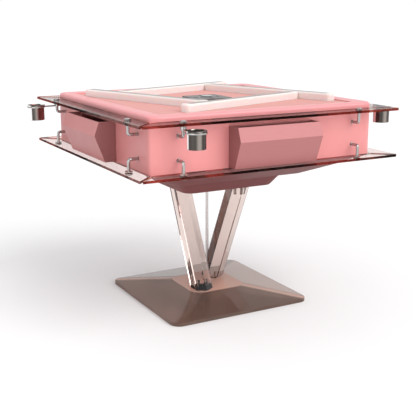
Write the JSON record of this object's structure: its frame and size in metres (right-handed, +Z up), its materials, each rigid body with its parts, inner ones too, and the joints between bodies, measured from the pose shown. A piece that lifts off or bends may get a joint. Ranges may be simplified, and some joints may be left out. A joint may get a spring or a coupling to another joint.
{
  "type": "automatic mahjong table",
  "caption": "Square game table on crossed clear legs, with folded drawers, clear shelf plates, swing-out cup holders, a rising dice console and a tile-shuffling drum inside.",
  "frame": {"origin": "middle of the base's underside, on the floor", "axes": "+Z up, -Y the front, +X to the right of someone who looks at the front"},
  "size_m": [1.2106, 1.2106, 0.8139],
  "materials": {
    "clear_base": "clear tinted, polished",
    "clear_leg": "clear tinted, polished",
    "clear_tube": "clear, polished",
    "pink_body": "smooth satin",
    "pink_drawer": "smooth satin",
    "pink_underside": "smooth satin",
    "field_cloth": "short pile",
    "tray_top": "matt",
    "clear_shelf": "clear, glowing edge",
    "chrome_rod": "polished",
    "cup_steel": "satin",
    "rack_frosted": "frosted",
    "console_gloss": "high gloss",
    "console_dark": "matt",
    "dome_clear": "clear, polished",
    "ivory": "gloss",
    "board": "raw board",
    "frame_paint": "black paint",
    "plate_steel": "plain",
    "fastener_steel": "plain",
    "drum_metal": "turned",
    "motor_case": "satin paint",
    "unit_plastic": "matt",
    "belt_rubber": "matt",
    "switch_red": "gloss"
  },
  "bodies": {
    "table": {"base_plate": "clear_base", "front_leg": "clear_leg", "rear_leg": "clear_leg", "cable_tube": "clear_tube", "leg_bolts": "fastener_steel", "leg_top_plate": "plate_steel", "lower_pan": "pink_underside", "body_shell": "pink_body", "top_rim": "pink_body", "tabletop_panel": "board", "table_mat": "field_cloth", "upper_shelves": "clear_shelf", "lower_shelves": "clear_shelf", "upper_brackets": "chrome_rod", "lower_brackets": "chrome_rod", "bracket_discs": "chrome_rod", "bracket_nuts": "chrome_rod", "drawer_runners": "plate_steel", "inner_frame": "frame_paint", "chassis_plate": "plate_steel", "drum_spindle": "fastener_steel", "drum_motor": "motor_case", "drive_belt": "belt_rubber", "console_bridge": "frame_paint", "console_motor": "motor_case", "control_box": "unit_plastic", "lift_guides": "unit_plastic", "pickup_units": "unit_plastic", "power_inlet": "unit_plastic"},
    "console": {"console_cover": "console_gloss", "console_column": "console_dark", "dice_dome": "dome_clear", "dice": "ivory"},
    "drum": {"drum_dish": "drum_metal"},
    "motor_wheel": {"motor_wheel": "drum_metal"},
    "power_switch": {"power_switch": "switch_red"},
    "drawer_front": {"drawer_front": "pink_drawer"},
    "cup_arm_front": {"cup_arm_front": "chrome_rod"},
    "cup_front": {"cup_front": "cup_steel"},
    "rack_front": {"rack_front": "rack_frosted"},
    "lift_tray_front": {"lift_tray_front": "tray_top"},
    "button_front": {"button_front": "ivory"},
    "drawer_right": {"drawer_right": "pink_drawer"},
    "cup_arm_right": {"cup_arm_right": "chrome_rod"},
    "cup_right": {"cup_right": "cup_steel"},
    "rack_right": {"rack_right": "rack_frosted"},
    "lift_tray_right": {"lift_tray_right": "tray_top"},
    "button_right": {"button_right": "ivory"},
    "drawer_rear": {"drawer_rear": "pink_drawer"},
    "cup_arm_rear": {"cup_arm_rear": "chrome_rod"},
    "cup_rear": {"cup_rear": "cup_steel"},
    "rack_rear": {"rack_rear": "rack_frosted"},
    "lift_tray_rear": {"lift_tray_rear": "tray_top"},
    "button_rear": {"button_rear": "ivory"},
    "drawer_left": {"drawer_left": "pink_drawer"},
    "cup_arm_left": {"cup_arm_left": "chrome_rod"},
    "cup_left": {"cup_left": "cup_steel"},
    "rack_left": {"rack_left": "rack_frosted"},
    "lift_tray_left": {"lift_tray_left": "tray_top"},
    "button_left": {"button_left": "ivory"}
  },
  "joints": [
    {"name": "drawer_front_slide", "type": "slide", "parent": "table", "child": "drawer_front", "axis": [0, -1, 0], "range_m": [0, 0.09]},
    {"name": "drawer_right_slide", "type": "slide", "parent": "table", "child": "drawer_right", "axis": [1, 0, 0], "range_m": [0, 0.09]},
    {"name": "drawer_rear_slide", "type": "slide", "parent": "table", "child": "drawer_rear", "axis": [0, 1, 0], "range_m": [0, 0.09]},
    {"name": "drawer_left_slide", "type": "slide", "parent": "table", "child": "drawer_left", "axis": [-1, 0, 0], "range_m": [0, 0.09]},
    {"name": "cup_arm_front_swing", "type": "hinge", "parent": "table", "child": "cup_arm_front", "pos_m": [-0.352, -0.485, 0.745], "axis": [0, 0, 1], "range_deg": [-35, 35]},
    {"name": "cup_front_lift", "type": "slide", "parent": "cup_arm_front", "child": "cup_front", "axis": [0, 0, 1], "range_m": [0, 0.09]},
    {"name": "cup_arm_right_swing", "type": "hinge", "parent": "table", "child": "cup_arm_right", "pos_m": [0.485, -0.352, 0.745], "axis": [0, 0, 1], "range_deg": [-35, 35]},
    {"name": "cup_right_lift", "type": "slide", "parent": "cup_arm_right", "child": "cup_right", "axis": [0, 0, 1], "range_m": [0, 0.09]},
    {"name": "cup_arm_rear_swing", "type": "hinge", "parent": "table", "child": "cup_arm_rear", "pos_m": [0.352, 0.485, 0.745], "axis": [0, 0, 1], "range_deg": [-35, 35]},
    {"name": "cup_rear_lift", "type": "slide", "parent": "cup_arm_rear", "child": "cup_rear", "axis": [0, 0, 1], "range_m": [0, 0.09]},
    {"name": "cup_arm_left_swing", "type": "hinge", "parent": "table", "child": "cup_arm_left", "pos_m": [-0.485, 0.352, 0.745], "axis": [0, 0, 1], "range_deg": [-35, 35]},
    {"name": "cup_left_lift", "type": "slide", "parent": "cup_arm_left", "child": "cup_left", "axis": [0, 0, 1], "range_m": [0, 0.09]},
    {"name": "rack_front_lift", "type": "slide", "parent": "table", "child": "rack_front", "axis": [0, 0, 1], "range_m": [0, 0.1]},
    {"name": "rack_right_lift", "type": "slide", "parent": "table", "child": "rack_right", "axis": [0, 0, 1], "range_m": [0, 0.1]},
    {"name": "rack_rear_lift", "type": "slide", "parent": "table", "child": "rack_rear", "axis": [0, 0, 1], "range_m": [0, 0.1]},
    {"name": "rack_left_lift", "type": "slide", "parent": "table", "child": "rack_left", "axis": [0, 0, 1], "range_m": [0, 0.1]},
    {"name": "lift_tray_front_drop", "type": "slide", "parent": "table", "child": "lift_tray_front", "axis": [0, 0, 1], "range_m": [-0.055, 0]},
    {"name": "lift_tray_right_drop", "type": "slide", "parent": "table", "child": "lift_tray_right", "axis": [0, 0, 1], "range_m": [-0.055, 0]},
    {"name": "lift_tray_rear_drop", "type": "slide", "parent": "table", "child": "lift_tray_rear", "axis": [0, 0, 1], "range_m": [-0.055, 0]},
    {"name": "lift_tray_left_drop", "type": "slide", "parent": "table", "child": "lift_tray_left", "axis": [0, 0, 1], "range_m": [-0.055, 0]},
    {"name": "console_lift", "type": "slide", "parent": "table", "child": "console", "axis": [0, 0, 1], "range_m": [0, 0.045]},
    {"name": "button_front_press", "type": "slide", "parent": "console", "child": "button_front", "axis": [0, 0, -1], "range_m": [0, 0.002], "stiffness_N_per_m": 300, "springref_m": -0.001},
    {"name": "button_right_press", "type": "slide", "parent": "console", "child": "button_right", "axis": [0, 0, -1], "range_m": [0, 0.002], "stiffness_N_per_m": 300, "springref_m": -0.001},
    {"name": "button_rear_press", "type": "slide", "parent": "console", "child": "button_rear", "axis": [0, 0, -1], "range_m": [0, 0.002], "stiffness_N_per_m": 300, "springref_m": -0.001},
    {"name": "button_left_press", "type": "slide", "parent": "console", "child": "button_left", "axis": [0, 0, -1], "range_m": [0, 0.002], "stiffness_N_per_m": 300, "springref_m": -0.001},
    {"name": "drum_spin", "type": "hinge", "parent": "table", "child": "drum", "pos_m": [0, 0, 0.62], "axis": [0, 0, 1], "continuous": true},
    {"name": "motor_spin", "type": "hinge", "parent": "table", "child": "motor_wheel", "pos_m": [-0.175, 0, 0.6], "axis": [0, 0, 1], "continuous": true},
    {"name": "switch_rock", "type": "hinge", "parent": "table", "child": "power_switch", "pos_m": [0.026, 0.253, 0.5225], "axis": [1, 0, 0], "range_deg": [-15, 0]}
  ],
  "couplings": [
    {"joint": "motor_spin", "follows": "drum_spin", "ratio": 6.6667}
  ]
}
